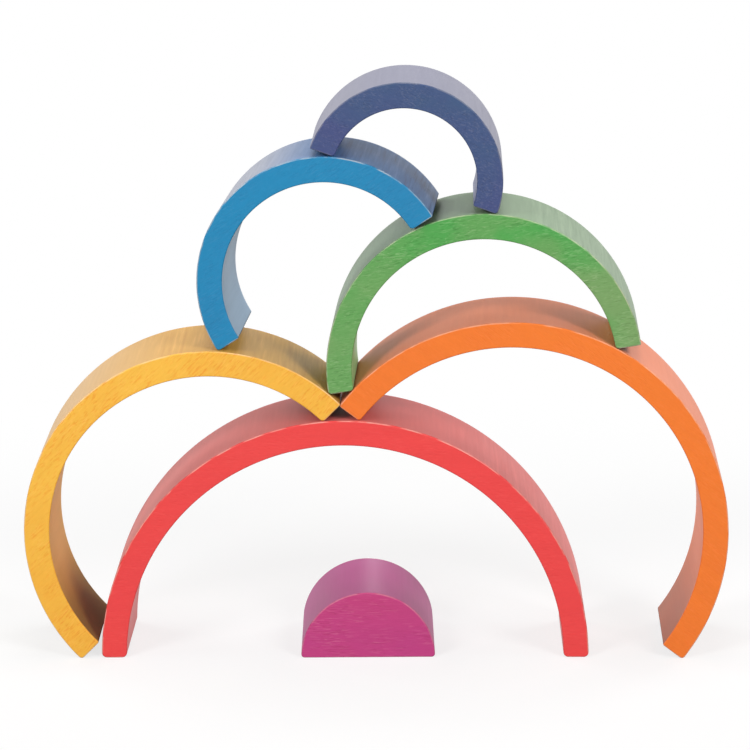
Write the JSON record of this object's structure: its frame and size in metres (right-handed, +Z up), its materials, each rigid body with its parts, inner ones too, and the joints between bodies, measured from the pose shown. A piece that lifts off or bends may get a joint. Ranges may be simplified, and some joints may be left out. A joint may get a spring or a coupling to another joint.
{
  "type": "rainbow nesting toy",
  "caption": "Stained wooden half-ring arches that nest as a rainbow around a half disc, balanced on each other as an open tower.",
  "frame": {"origin": "middle of the tower's width and depth, on the floor it stands on", "axes": "+X along the tower to the viewer's right, +Y through the board from the front to the back, +Z up"},
  "size_m": [0.3345, 0.0656, 0.2755],
  "materials": {
    "red_stain": "satin stain, grain showing",
    "orange_stain": "satin stain, grain showing",
    "yellow_stain": "satin stain, grain showing",
    "green_stain": "satin stain, grain showing",
    "blue_stain": "satin stain, grain showing",
    "indigo_stain": "satin stain, grain showing",
    "magenta_stain": "satin stain, grain showing"
  },
  "bodies": {
    "red": {"red_arch": "red_stain"},
    "yellow": {"yellow_arch": "yellow_stain"},
    "orange": {"orange_arch": "orange_stain"},
    "green": {"green_arch": "green_stain"},
    "blue": {"blue_arch": "blue_stain"},
    "indigo": {"indigo_arch": "indigo_stain"},
    "half_disc": {"magenta_half_disc": "magenta_stain"}
  },
  "joints": [
    {"name": "yellow_lift", "type": "slide", "parent": "red", "child": "yellow", "axis": [0, 0, 1], "range_m": [0, 0.12]},
    {"name": "orange_lift", "type": "slide", "parent": "yellow", "child": "orange", "axis": [0, 0, 1], "range_m": [0, 0.12]},
    {"name": "green_lift", "type": "slide", "parent": "orange", "child": "green", "axis": [0, 0, 1], "range_m": [0, 0.05]},
    {"name": "blue_lift", "type": "slide", "parent": "green", "child": "blue", "axis": [0, 0, 1], "range_m": [0, 0.07]},
    {"name": "indigo_lift", "type": "slide", "parent": "blue", "child": "indigo", "axis": [0, 0, 1], "range_m": [0, 0.04]},
    {"name": "half_disc_slide", "type": "slide", "parent": "red", "child": "half_disc", "axis": [0, 1, 0], "range_m": [-0.07, 0.07]}
  ]
}
